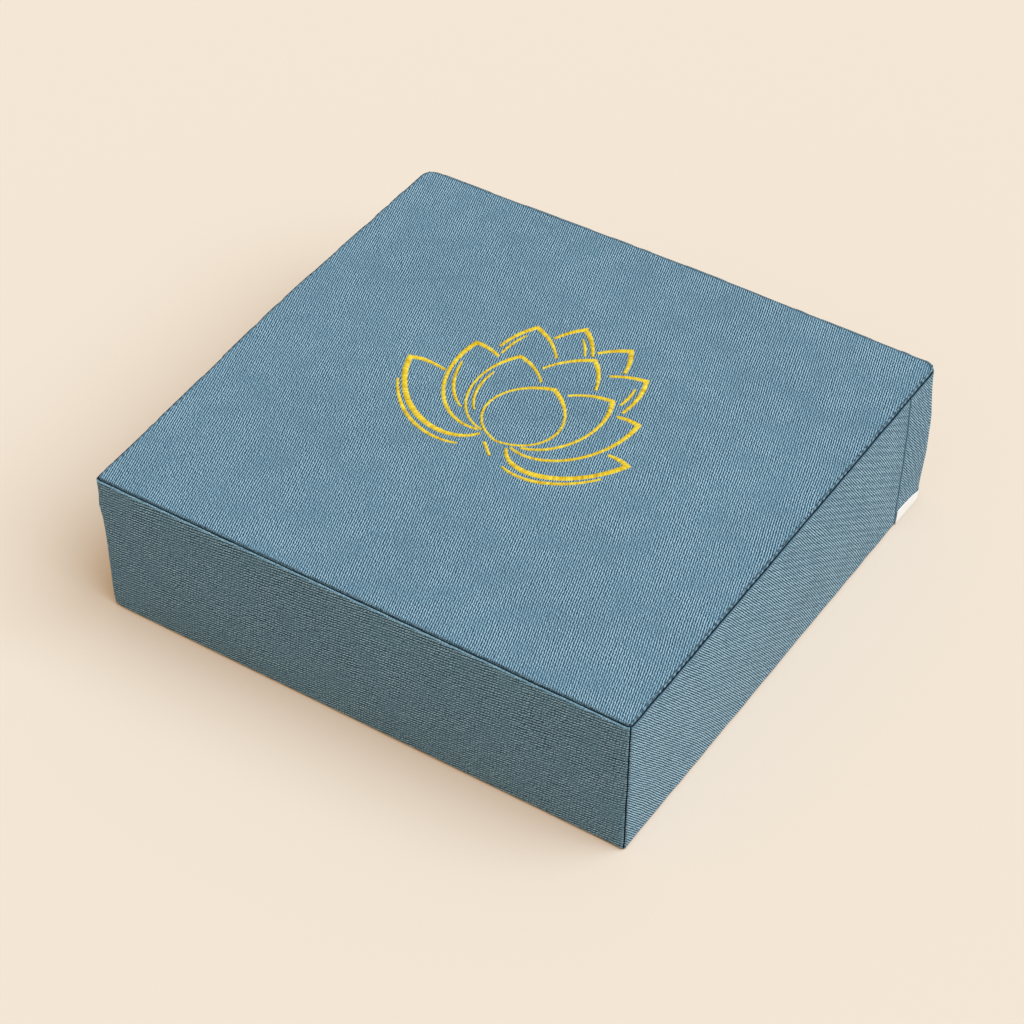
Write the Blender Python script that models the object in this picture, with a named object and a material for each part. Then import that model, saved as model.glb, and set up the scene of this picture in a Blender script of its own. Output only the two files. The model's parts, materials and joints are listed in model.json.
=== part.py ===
"""Square floor cushion: a foam block in an inner case, inside a boxed and zipped twill cover.

The frame's origin is the middle of the base, +Z is up, -Y is the front and +X is the right side.
Metres throughout. Sheets of cloth are plain slabs and strips, one for each cut piece.
"""
import math

import bmesh
import bpy
from mathutils import Matrix, Vector
from mathutils.geometry import interpolate_bezier

# Driving dimensions
SIDE = 0.4572  # width and depth of the cushion
HEIGHT = 0.127
COVER = 0.0012  # thickness of the twill
LINER = 0.0006  # thickness of the inner case
WADDING = 0.005
GAP = 0.0003  # left between pieces that touch
CORNER_RADII = {"front_left": 0.006, "front_right": 0.003, "back_right": 0.012, "back_left": 0.012}
WRAP = 0.044  # how far the back boxing turns onto each side

# The zip, across the middle of the back
ZIP_LENGTH = 0.406
ZIP_WINDOW = 0.011  # height of the opening that the zip fills
ZIP_ROOM = 0.0055  # depth that the zip takes from the inner cushion
TAPE_WIDTH = 0.0104
TAPE = 0.0006
COIL_WIDTH = 0.0027
COIL_DEPTH = 0.0022
COIL_SLIT = 0.0012
COIL_INSET = 0.0031  # from the back face to the inner side of the coils
STOP_LENGTH = 0.003
SLIDER_LENGTH = 0.012
SLIDER_WIDTH = 0.0094
SLIDER_PLATE = 0.0012
SLIDER_WEB = 0.004  # length of the web that joins the two plates
BRIDGE_SPAN = 0.0092
BRIDGE_WIDTH = 0.0024
BRIDGE_BAR = 0.001
BRIDGE_WINDOW = 0.002
BRIDGE_CHAMFER = 0.0006
BRIDGE_ROOT = 0.0002  # how far its feet stand into the front plate
PULL_LENGTH = 0.032
PULL_WIDTH = 0.008
PULL_THICKNESS = 0.0012
PULL_EYE = 0.007  # length of the eye that the bridge passes through
PULL_RAIL = 0.0015
METAL_BEVEL = 0.0003
STOP_BEVEL = 0.0004

# Embroidery: a lotus drawn with raised lines
THREAD_HEIGHT = 0.0008
PETAL_STEPS = 24  # points along each side of a petal
PETAL_CLEARANCE = 0.0026  # kept between a line and the petal in front of it
# Each petal, front to back: base x and y, turn to the left in degrees, length, half width,
# sideways sweep of the tip, half width of the line, extra on its lower side
PETALS = {
    "petal_front": (-0.004, -0.031, -7, 0.074, 0.035, 0.003, 0.0013, 0.0),
    "petal_inner_left": (-0.010, -0.026, 22, 0.094, 0.031, -0.004, 0.0012, 0.0),
    "petal_inner_right": (0.000, -0.027, -33, 0.094, 0.030, 0.006, 0.0013, 0.0003),
    "petal_middle": (-0.004, -0.020, -7, 0.110, 0.033, 0.000, 0.0013, 0.0),
    "petal_side_left": (-0.014, -0.024, 47, 0.104, 0.030, -0.016, 0.0014, 0.0004),
    "petal_side_right": (0.003, -0.027, -56, 0.100, 0.029, 0.016, 0.0014, 0.0003),
    "petal_back_left": (-0.012, -0.010, 21, 0.116, 0.032, -0.004, 0.0013, 0.0002),
    "petal_back_right": (0.000, -0.010, -31, 0.114, 0.031, 0.004, 0.0013, 0.0002),
    "petal_far_left": (-0.008, 0.010, 3, 0.108, 0.028, 0.003, 0.0014, 0.0),
    "petal_far_right": (-0.002, 0.010, -17, 0.108, 0.026, 0.003, 0.0014, 0.0),
    "petal_low_left": (-0.018, -0.030, 77, 0.103, 0.027, -0.024, 0.0015, 0.0012),
    "petal_low_right": (0.008, -0.034, -86, 0.088, 0.022, 0.026, 0.0015, 0.0012),
}
# Each loose line follows a petal's edge: petal, first and last point, distance out at each, half width
LINES = {
    "vein_side_left": ("petal_side_left", 9, 20, -0.010, -0.005, 0.0011),
    "vein_inner_left": ("petal_inner_left", 8, 19, -0.006, -0.005, 0.0009),
    "vein_back_left": ("petal_back_left", 17, 22, -0.006, -0.005, 0.0009),
    "vein_far_left": ("petal_far_left", 26, 30, -0.006, -0.006, 0.0009),
    "vein_back_right": ("petal_back_right", 26, 30, -0.006, -0.007, 0.0010),
    "under_line_left": ("petal_low_left", 4, 20, 0.009, 0.005, 0.0013),
    "under_line_right": ("petal_low_right", 28, 43, 0.005, 0.008, 0.0013),
}
STEM = ((-0.010, -0.0365), (0.002, -0.0475))
STEM_HALF_WIDTH = 0.0011
BACKING = 0.0004
BACKING_BOX = (-0.124, -0.056, 0.110, 0.121)  # left, front, right, back

# The care label, folded into the base seam at the back of the right side
LABEL = 0.0004
LABEL_HEIGHTS = (0.0135, 0.0065)  # at its front edge and at its back edge
LABEL_TURN = 50  # degrees of the corner that it follows

HALF = SIDE / 2
SEAM_Y = HALF - WRAP
ZIP_Z = HEIGHT / 2
SEAM_TURN = 2.5  # degrees left open each side of a seam that stands on a corner
ARC_STEPS = 6
COIL_END = ZIP_LENGTH / 2 - STOP_LENGTH - 3 * GAP
COIL_BACK = HALF - COIL_INSET
SLIDER_X = COIL_END - SLIDER_LENGTH / 2
PULL_Y = HALF + SLIDER_PLATE / 2 + BRIDGE_WINDOW / 2


def makeMaterial(name, red, green, blue, roughness, metallic=0.0):
    """A Principled material from 8-bit sRGB values."""

    def linear(value):
        part = value / 255
        return part / 12.92 if part <= 0.04045 else ((part + 0.055) / 1.055) ** 2.4

    material = bpy.data.materials.new(name)
    material.use_nodes = True
    shader = material.node_tree.nodes["Principled BSDF"]
    shader.inputs["Base Color"].default_value = (linear(red), linear(green), linear(blue), 1)
    shader.inputs["Roughness"].default_value = roughness
    shader.inputs["Metallic"].default_value = metallic
    material.diffuse_color = (linear(red), linear(green), linear(blue), 1)
    return material


def addObject(name, bm, material):
    """Links the bmesh as an object with one material."""
    bmesh.ops.recalc_face_normals(bm, faces=bm.faces)
    mesh = bpy.data.meshes.new(name)
    bm.to_mesh(mesh)
    bm.free()
    if material:
        mesh.materials.append(material)
    obj = bpy.data.objects.new(name, mesh)
    bpy.context.scene.collection.objects.link(obj)
    return obj


def makePrism(name, outline, low, high, material, topSlope=None):
    """Stands a flat outline up between two heights; topSlope changes the top's height at each point."""
    bm = bmesh.new()
    base = bm.faces.new([bm.verts.new((x, y, low)) for x, y in outline])
    grown = bmesh.ops.extrude_face_region(bm, geom=[base], use_keep_orig=True)
    for vert in grown["geom"]:
        if isinstance(vert, bmesh.types.BMVert):
            vert.co.z = topSlope(vert.co) if topSlope else high
    return addObject(name, bm, material)


def makeBox(name, low, high, material, bevel=0.0):
    """A box between two corners, with its long edges eased if asked."""
    bm = bmesh.new()
    bmesh.ops.create_cube(bm, size=1)
    size = Vector(high) - Vector(low)
    bmesh.ops.scale(bm, vec=size, verts=bm.verts)
    bmesh.ops.translate(bm, vec=(Vector(low) + Vector(high)) / 2, verts=bm.verts)
    if bevel:
        bmesh.ops.bevel(
            bm, geom=bm.edges[:], offset=bevel, segments=2, profile=0.5, affect="EDGES", material=-1
        )
    return addObject(name, bm, material)


def cut(obj, cutter):
    """Takes the cutter away from the object and hides the cutter."""
    modifier = obj.modifiers.new("cut", "BOOLEAN")
    modifier.operation = "DIFFERENCE"
    modifier.object = cutter
    cutter.hide_render = True
    cutter.display_type = "WIRE"


# Outlines in plan, anticlockwise from above


def cornerArc(corner, fromTurn, toTurn, inset, box, radii=CORNER_RADII):
    """Points round one corner of a rounded rectangle, drawn in by inset."""
    left, front, right, back = box
    radius = radii[corner]
    centreX = left + radius if "left" in corner else right - radius
    centreY = front + radius if "front" in corner else back - radius
    points = []
    for step in range(ARC_STEPS + 1):
        turn = math.radians(fromTurn + (toTurn - fromTurn) * step / ARC_STEPS)
        reach = radius - inset
        points.append((centreX + reach * math.cos(turn), centreY + reach * math.sin(turn)))
    return points


def closedOutline(box, inset=0.0, radii=CORNER_RADII):
    """The whole rounded rectangle."""
    points = []
    starts = {"front_right": -90, "back_right": 0, "back_left": 90, "front_left": 180}
    for corner, start in starts.items():
        points += cornerArc(corner, start, start + 90, inset, box, radii)
    return points


def stripPath(name, inset, box):
    """One boxing strip's line, from seam to seam."""
    left, front, right, back = box
    seam = back - WRAP
    if name == "front_boxing":
        path = cornerArc("front_left", 225 + SEAM_TURN, 270, inset, box)
        return path + cornerArc("front_right", -90, -45 - SEAM_TURN, inset, box)
    if name == "right_boxing":
        path = cornerArc("front_right", -45 + SEAM_TURN, 0, inset, box)
        return path + [(right - inset, seam - GAP / 2)]
    if name == "left_boxing":
        path = [(left + inset, seam - GAP / 2)]
        return path + cornerArc("front_left", 180, 225 - SEAM_TURN, inset, box)
    path = [(right - inset, seam + GAP / 2)] + cornerArc("back_right", 0, 90, inset, box)
    return path + cornerArc("back_left", 90, 180, inset, box) + [(left + inset, seam + GAP / 2)]


def coverBox():
    return (-HALF, -HALF, HALF, HALF)


def innerBox():
    """The inner case's outer faces: just inside the cover, and clear of the zip at the back."""
    side = HALF - COVER - GAP
    return (-side, -side, side, side - ZIP_ROOM)


# The cushion's own pieces


def makeCover(twill, label):
    """Top, base and four boxing strips, with the zip's window in the back one."""
    makePrism("base_panel", closedOutline(coverBox()), 0, COVER, twill)
    makePrism("top_panel", closedOutline(coverBox()), HEIGHT - COVER, HEIGHT, twill)
    low = COVER + GAP
    high = HEIGHT - COVER - GAP
    strips = {}
    for name in ("front_boxing", "right_boxing", "left_boxing", "back_boxing"):
        outer = stripPath(name, 0, coverBox())
        inner = stripPath(name, COVER, coverBox())
        strips[name] = makePrism(name, outer + inner[::-1], low, high, twill)
    halfZip = ZIP_LENGTH / 2
    deep = 4 * COVER
    window = makeBox(
        "zip_window",
        (-halfZip, HALF - deep, ZIP_Z - ZIP_WINDOW / 2),
        (halfZip, HALF + COVER, ZIP_Z + ZIP_WINDOW / 2),
        None,
    )
    cut(strips["back_boxing"], window)
    makeLabel(label)


def makeLabel(material):
    """A plain label that stands up against the boxing and follows the start of the corner."""
    paths = []
    for outward in (GAP, GAP + LABEL):
        path = [(HALF + outward, SEAM_Y + GAP)]
        path += cornerArc("back_right", 0, LABEL_TURN, -outward, coverBox())
        paths.append(path)
    inner, outer = paths
    front, back = LABEL_HEIGHTS
    startY, endY = inner[0][1], inner[-1][1]

    def topEdge(point):
        return front + (back - front) * (point.y - startY) / (endY - startY)

    makePrism("care_label", outer + inner[::-1], 2 * GAP, front, material, topEdge)


def makeInnerCushion(caseCloth, wadding, foam):
    """The foam block between two sheets of wadding, in a sewn inner case."""
    box = innerBox()
    base = COVER + GAP
    top = HEIGHT - COVER - 2 * GAP - BACKING
    radii = {corner: radius - COVER for corner, radius in CORNER_RADII.items()}
    makePrism("liner_base", closedOutline(box, 0, radii), base, base + LINER, caseCloth)
    makePrism("liner_top", closedOutline(box, 0, radii), top - LINER, top, caseCloth)
    left, front, right, back = box
    bandBase = base + LINER + GAP
    bandTop = top - LINER - GAP
    band = []
    for inset in (0, LINER):
        seamEnd = (left + inset, 0)
        ring = cornerArc("front_left", 180, 270, inset, box, radii)
        ring += cornerArc("front_right", -90, 0, inset, box, radii)
        ring += cornerArc("back_right", 0, 90, inset, box, radii)
        ring += cornerArc("back_left", 90, 180, inset, box, radii)
        band.append([seamEnd] + ring + [(left + inset, GAP)])
    makePrism("liner_band", band[0] + band[1][::-1], bandBase, bandTop, caseCloth)
    inset = LINER + GAP
    core = closedOutline((left + inset, front + inset, right - inset, back - inset), 0, radii)
    makePrism("wadding_base", core, bandBase, bandBase + WADDING, wadding)
    makePrism("wadding_top", core, bandTop - WADDING, bandTop, wadding)
    makePrism("foam_core", core, bandBase + WADDING + GAP, bandTop - WADDING - GAP, foam)


# The zip


def makeZip(tapeCloth, coilPlastic, metal):
    """Tapes, coils and stops, which stay with the cover."""
    halfTape = ZIP_LENGTH / 2 + STOP_LENGTH
    tapeBack = HALF - COVER - GAP - TAPE
    tapeStart = COIL_SLIT / 2 + COIL_WIDTH + GAP
    for name, side in (("upper", 1), ("lower", -1)):
        tape = sorted((ZIP_Z + side * tapeStart, ZIP_Z + side * (tapeStart + TAPE_WIDTH)))
        low = (-halfTape, tapeBack, tape[0])
        high = (halfTape, tapeBack + TAPE, tape[1])
        makeBox("zip_tape_" + name, low, high, tapeCloth)
        coil = sorted((ZIP_Z + side * COIL_SLIT / 2, ZIP_Z + side * (COIL_SLIT / 2 + COIL_WIDTH)))
        low = (-COIL_END, COIL_BACK, coil[0])
        high = (COIL_END, COIL_BACK + COIL_DEPTH, coil[1])
        makeBox("zip_coil_" + name, low, high, coilPlastic)
    halfStop = COIL_SLIT / 2 + COIL_WIDTH
    for name, side in (("zip_top_stop", 1), ("zip_bottom_stop", -1)):
        ends = sorted((side * (COIL_END + GAP), side * (COIL_END + GAP + STOP_LENGTH)))
        low = (ends[0], COIL_BACK, ZIP_Z - halfStop)
        high = (ends[1], COIL_BACK + COIL_DEPTH, ZIP_Z + halfStop)
        makeBox(name, low, high, metal, STOP_BEVEL)


def makeSlider(metal):
    """Two plates joined by a web that runs in the slit, with a bridge for the pull."""
    bm = bmesh.new()
    halfLength = SLIDER_LENGTH / 2
    halfWidth = SLIDER_WIDTH / 2
    outer = SLIDER_PLATE / 2
    inner = COIL_BACK - GAP - HALF  # the back plate runs clear behind the coils
    profile = bridgeProfile(outer)
    face = bm.faces.new([bm.verts.new((x, y, -BRIDGE_WIDTH / 2)) for x, y in profile])
    grown = bmesh.ops.extrude_face_region(bm, geom=[face], use_keep_orig=True)
    moved = [item for item in grown["geom"] if isinstance(item, bmesh.types.BMVert)]
    bmesh.ops.translate(bm, vec=(0, 0, BRIDGE_WIDTH), verts=moved)
    slider = addObject("zip_slider", bm, metal)
    pieces = (
        ("slider_front", (-halfLength, outer - SLIDER_PLATE, -halfWidth), (halfLength, outer, halfWidth)),
        ("slider_back", (-halfLength, inner - SLIDER_PLATE, -halfWidth), (halfLength, inner, halfWidth)),
        ("slider_web", (-SLIDER_WEB / 2, inner - SLIDER_PLATE / 2, -GAP), (SLIDER_WEB / 2, 0, GAP)),
    )
    for name, low, high in pieces:
        other = makeBox(name, low, high, None, 0 if "web" in name else METAL_BEVEL)
        other.hide_render = True
        other.display_type = "WIRE"
        other.location = (SLIDER_X, HALF, ZIP_Z)
        join = slider.modifiers.new(name, "BOOLEAN")
        join.operation = "UNION"
        join.object = other
    slider.location = (SLIDER_X, HALF, ZIP_Z)


def bridgeProfile(outer):
    """The bridge from the side, with its feet a little way into the front plate."""
    foot = outer - BRIDGE_ROOT
    under = outer + BRIDGE_WINDOW
    halfSpan = BRIDGE_SPAN / 2
    return [
        (-halfSpan, foot),
        (-halfSpan, under + BRIDGE_BAR - BRIDGE_CHAMFER),
        (-halfSpan + BRIDGE_CHAMFER, under + BRIDGE_BAR),
        (halfSpan - BRIDGE_CHAMFER, under + BRIDGE_BAR),
        (halfSpan, under + BRIDGE_BAR - BRIDGE_CHAMFER),
        (halfSpan, foot),
        (halfSpan - BRIDGE_BAR, foot),
        (halfSpan - BRIDGE_BAR, under),
        (-halfSpan + BRIDGE_BAR, under),
        (-halfSpan + BRIDGE_BAR, foot),
    ]


def makePull(metal):
    """A flat tab whose eye goes round the bridge; its origin is its hinge."""
    halfThick = PULL_THICKNESS / 2
    halfWidth = PULL_WIDTH / 2
    low = (-PULL_LENGTH, -halfThick, -halfWidth)
    pull = makeBox("zip_pull", low, (halfThick, halfThick, halfWidth), metal, METAL_BEVEL)
    eyeLow = (-PULL_EYE - halfThick, -2 * halfThick, -halfWidth + PULL_RAIL)
    eye = makeBox("pull_eye", eyeLow, (-halfThick, 2 * halfThick, halfWidth - PULL_RAIL), None)
    hinge = bpy.data.objects.new("pull_hinge", None)
    bpy.context.scene.collection.objects.link(hinge)
    hinge.location = (SLIDER_X, PULL_Y, ZIP_Z)
    cut(pull, eye)
    pull.parent = hinge
    eye.parent = hinge


# The embroidery


def petalOutline(petal, grow=0.0):
    """A pointed petal as a line from its base, up the left side, round the tip and down again."""
    baseX, baseY, turn, length, halfWidth, sweep = petal[:6]
    length += grow
    halfWidth += grow
    sides = []
    for side in (-1, 1):
        lowHandle = Vector((side * halfWidth * 1.15, length * 0.10, 0))
        highHandle = Vector((side * halfWidth * 1.25, length * 0.74, 0))
        start = Vector((0, -grow, 0))
        tip = Vector((0, length, 0))
        sides.append(interpolate_bezier(start, lowHandle, highHandle, tip, PETAL_STEPS + 1))
    line = sides[0] + sides[1][-2::-1]
    place = Matrix.Translation((baseX, baseY, 0)) @ Matrix.Rotation(math.radians(turn), 4, "Z")
    return [place @ Vector((p.x - sweep * (p.y / length) ** 2, p.y, 0)) for p in line]


def isInside(point, outline):
    """Whether the point lies inside the closed outline."""
    crossings = 0
    for a, b in zip(outline, outline[1:] + outline[:1]):
        if (a.y > point.y) != (b.y > point.y):
            crossings += point.x < a.x + (point.y - a.y) * (b.x - a.x) / (b.y - a.y)
    return crossings % 2 == 1


def visibleRun(line, fronts):
    """The stretch about the tip that no petal in front covers, as first and last index."""
    ends = []
    for step in (-1, 1):
        index = PETAL_STEPS
        while 0 <= index + step < len(line) and not any(isInside(line[index + step], f) for f in fronts):
            index += step
        ends.append(index)
    return ends


def ribbonOutline(line, halfWidths):
    """Both edges of a line of changing width, mitred at its bends."""
    left, right = [], []
    for index, point in enumerate(line):
        before = (point - line[index - 1]).normalized() if index else None
        after = (line[index + 1] - point).normalized() if index + 1 < len(line) else None
        before = before or after
        after = after or before
        along = (before + after).normalized()
        across = Vector((-along.y, along.x, 0))
        mitre = halfWidths[index] / max(0.5, along.dot(after))
        left.append((point + across * mitre).xy)
        right.append((point - across * mitre).xy)
    return [tuple(p) for p in left + right[::-1]]


def makeEmbroidery(thread, backing):
    """Petals from front to back, then the loose lines and the stem."""
    low = HEIGHT + GAP
    high = low + THREAD_HEIGHT
    fronts = []
    for name, petal in PETALS.items():
        stroke, heavy = petal[6:]
        line = petalOutline(petal)
        first, last = visibleRun(line, fronts)
        lowerSide = 1 if petal[2] < 0 else -1
        halfWidths = []
        for index in range(first, last + 1):
            fromTip = index - PETAL_STEPS
            flare = math.exp(-((fromTip / 4) ** 2))
            onLower = fromTip * lowerSide > 0
            belly = math.sin(math.pi * min(1, abs(fromTip) / PETAL_STEPS)) if onLower else 0
            halfWidths.append(stroke * (0.6 + 0.7 * flare) + heavy * belly)
        makePrism(name, ribbonOutline(line[first : last + 1], halfWidths), low, high, thread)
        fronts.append(petalOutline(petal, PETAL_CLEARANCE))
    for name, (petal, first, last, startOut, endOut, halfWidth) in LINES.items():
        line = petalOutline(PETALS[petal])
        points, halfWidths = [], []
        for index in range(first, last + 1):
            along = (line[index + 1] - line[index - 1]).normalized()
            share = (index - first) / (last - first)
            out = startOut + (endOut - startOut) * share
            points.append(line[index] + Vector((-along.y, along.x, 0)) * out)
            halfWidths.append(halfWidth * (0.55 + 0.45 * math.sin(math.pi * share)))
        makePrism(name, ribbonOutline(points, halfWidths), low, high, thread)
    stem = [Vector((x, y, 0)) for x, y in STEM]
    stemOutline = ribbonOutline(stem, [STEM_HALF_WIDTH, STEM_HALF_WIDTH * 0.7])
    makePrism("stem_line", stemOutline, low, high, thread)
    backingTop = HEIGHT - COVER - GAP
    outline = closedOutline(BACKING_BOX, 0, dict.fromkeys(CORNER_RADII, 0.02))
    makePrism("embroidery_backing", outline, backingTop - BACKING, backingTop, backing)


def main():
    for obj in list(bpy.data.objects):
        bpy.data.objects.remove(obj, do_unlink=True)
    twill = makeMaterial("dusty_blue_twill", 113, 145, 162, 0.9)
    white = makeMaterial("label_ribbon", 248, 250, 247, 0.8)
    caseCloth = makeMaterial("inner_case_cloth", 226, 224, 216, 0.9)
    wadding = makeMaterial("polyester_wadding", 240, 240, 236, 1.0)
    foam = makeMaterial("foam", 222, 214, 188, 0.95)
    tapeCloth = makeMaterial("zip_tape_cloth", 96, 126, 142, 0.85)
    coilPlastic = makeMaterial("zip_coil_nylon", 88, 116, 132, 0.5)
    metal = makeMaterial("zip_metal", 176, 178, 180, 0.3, 1.0)
    thread = makeMaterial("gold_thread", 234, 204, 63, 0.45)
    backing = makeMaterial("backing_paper", 236, 236, 232, 0.9)
    makeCover(twill, white)
    makeInnerCushion(caseCloth, wadding, foam)
    makeZip(tapeCloth, coilPlastic, metal)
    makeSlider(metal)
    makePull(metal)
    makeEmbroidery(thread, backing)


main()
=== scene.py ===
import json
import math
import random

import bmesh
import bpy
import numpy as np
from mathutils import Matrix, Vector, noise
from mathutils.bvhtree import BVHTree
from mathutils.kdtree import KDTree

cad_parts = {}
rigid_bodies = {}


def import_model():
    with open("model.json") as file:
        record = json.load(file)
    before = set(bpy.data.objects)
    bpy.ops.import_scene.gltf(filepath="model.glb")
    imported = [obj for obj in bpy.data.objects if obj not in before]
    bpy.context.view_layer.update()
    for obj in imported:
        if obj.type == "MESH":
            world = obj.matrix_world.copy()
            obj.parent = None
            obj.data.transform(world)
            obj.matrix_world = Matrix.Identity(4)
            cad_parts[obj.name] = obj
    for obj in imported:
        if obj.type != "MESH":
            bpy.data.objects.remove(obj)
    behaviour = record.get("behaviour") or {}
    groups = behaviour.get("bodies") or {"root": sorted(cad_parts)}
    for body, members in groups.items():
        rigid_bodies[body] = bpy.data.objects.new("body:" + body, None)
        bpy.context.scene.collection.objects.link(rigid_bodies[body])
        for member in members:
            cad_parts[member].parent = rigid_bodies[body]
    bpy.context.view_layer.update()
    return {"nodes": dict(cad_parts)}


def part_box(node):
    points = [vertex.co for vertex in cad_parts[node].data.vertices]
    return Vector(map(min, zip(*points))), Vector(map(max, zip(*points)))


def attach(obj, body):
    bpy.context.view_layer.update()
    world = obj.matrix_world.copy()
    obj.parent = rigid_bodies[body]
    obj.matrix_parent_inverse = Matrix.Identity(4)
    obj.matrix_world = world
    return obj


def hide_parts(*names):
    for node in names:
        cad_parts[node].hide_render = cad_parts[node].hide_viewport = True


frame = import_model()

shown = bpy.context.scene.collection.objects
mm = 0.001

topLow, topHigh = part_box("top_panel")
half = topHigh.x
height = topHigh.z
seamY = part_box("right_boxing")[1].y  # where the back boxing starts on each side
zipZ = (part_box("zip_coil_upper")[0].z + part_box("zip_coil_lower")[1].z) / 2
pullLow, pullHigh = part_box("zip_pull")
pullReach = 2 * pullHigh.x - pullLow.x  # where the pull's end comes when it is turned over


# Small helpers

def linear(red, green, blue):
    parts = [value / 255 for value in (red, green, blue)]
    return tuple(p / 12.92 if p <= 0.04045 else ((p + 0.055) / 1.055) ** 2.4 for p in parts)


def applyModifiers(obj):
    # what the modifiers make becomes the mesh
    graph = bpy.context.evaluated_depsgraph_get()
    mesh = bpy.data.meshes.new_from_object(obj.evaluated_get(graph))
    obj.modifiers.clear()
    obj.data = mesh


def addPiece(name, bm, material, body="cushion", replaces=()):
    mesh = bpy.data.meshes.new(name)
    bm.to_mesh(mesh)
    bm.free()
    return dressPiece(name, mesh, material, body, replaces)


def dressPiece(name, mesh, material, body="cushion", replaces=()):
    mesh.shade_smooth()
    mesh.materials.clear()
    mesh.materials.append(material)
    obj = bpy.data.objects.new(name, mesh)
    shown.link(obj)
    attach(obj, body)
    if replaces:
        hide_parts(*replaces)
    return obj


def moveVerts(bm, verts, matrix):
    bmesh.ops.transform(bm, matrix=matrix, verts=verts)


def newVerts(grown):
    return [item for item in grown if isinstance(item, bmesh.types.BMVert)]


def openEdges(grown):
    return [item for item in grown if isinstance(item, bmesh.types.BMEdge) and item.is_boundary]


def easeEdges(bm, edges, offset, segments=2):
    bmesh.ops.bevel(
        bm, geom=edges, offset=offset, segments=segments, profile=0.5, affect="EDGES", material=-1
    )


def boxAt(place, size):
    bm = bmesh.new()
    bmesh.ops.create_cube(bm, size=1)
    moveVerts(bm, bm.verts, Matrix.Translation(place) @ Matrix.Diagonal((*size, 1)))
    return bm


def addThickness(piece, thickness, offset=0):
    thick = piece.modifiers.new("thickness", "SOLIDIFY")
    thick.thickness = thickness
    thick.offset = offset


def curveMesh(curve):
    # the curve's own bevel and fill become the mesh
    holder = bpy.data.objects.new("holder", curve)
    mesh = bpy.data.meshes.new_from_object(holder)
    bpy.data.objects.remove(holder)
    bpy.data.curves.remove(curve)
    return mesh


# Materials

def newGroup(name, inputs, outputs):
    tree = bpy.data.node_groups.new(name, "ShaderNodeTree")
    for label, kind, value in inputs:
        socket = tree.interface.new_socket(label, in_out="INPUT", socket_type=kind)
        if value is not None:
            socket.default_value = value
    for label, kind in outputs:
        tree.interface.new_socket(label, in_out="OUTPUT", socket_type=kind)
    return tree, tree.nodes.new("NodeGroupInput"), tree.nodes.new("NodeGroupOutput")


def setSockets(node, levels):
    for label, level in levels.items():
        node.inputs[label].default_value = level


class Sketch:
    # short ways to add nodes to one tree
    def __init__(self, tree):
        self.tree = tree

    def node(self, kind, **settings):
        made = self.tree.nodes.new(kind)
        for key, value in settings.items():
            setattr(made, key, value)
        return made

    def link(self, source, target):
        if isinstance(source, (int, float, tuple)):
            target.default_value = source
        else:
            self.tree.links.new(source, target)

    def objectPlace(self):
        return self.node("ShaderNodeTexCoord").outputs["Object"]

    def axes(self, vector):
        made = self.node("ShaderNodeSeparateXYZ")
        self.link(vector, made.inputs[0])
        return made.outputs

    def math(self, operation, first, second=0.0, third=0.0, clamp=False):
        made = self.node("ShaderNodeMath", operation=operation, use_clamp=clamp)
        for value, socket in zip((first, second, third), made.inputs):
            self.link(value, socket)
        return made.outputs[0]

    def mapRange(self, value, fromLow, fromHigh, toLow, toHigh):
        made = self.node("ShaderNodeMapRange")
        for entry, socket in zip((value, fromLow, fromHigh, toLow, toHigh), made.inputs):
            self.link(entry, socket)
        return made.outputs[0]

    def noise(self, vector, scale, detail=2.0, roughness=0.5, distortion=0.0):
        made = self.node("ShaderNodeTexNoise")
        self.link(vector, made.inputs["Vector"])
        levels = {"Scale": scale, "Detail": detail, "Roughness": roughness, "Distortion": distortion}
        setSockets(made, levels)
        return made.outputs["Fac"]

    def mix(self, factor, first, second, blend="MIX"):
        made = self.node("ShaderNodeMix", data_type="RGBA", blend_type=blend)
        self.link(factor, made.inputs[0])
        for value, socket in ((first, made.inputs[6]), (second, made.inputs[7])):
            self.link((*value, 1.0) if isinstance(value, tuple) and len(value) == 3 else value, socket)
        return made.outputs[2]

    def bump(self, heightValue, strength, distance):
        made = self.node("ShaderNodeBump")
        setSockets(made, {"Strength": strength, "Distance": distance})
        self.link(heightValue, made.inputs["Height"])
        return made.outputs["Normal"]


def newMaterial(name):
    material = bpy.data.materials.new(name)
    material.use_nodes = True
    return material, Sketch(material.node_tree), material.node_tree.nodes["Principled BSDF"]


ribMiddle = 0.4  # the tone that a rib fades to where the weave is faint


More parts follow.
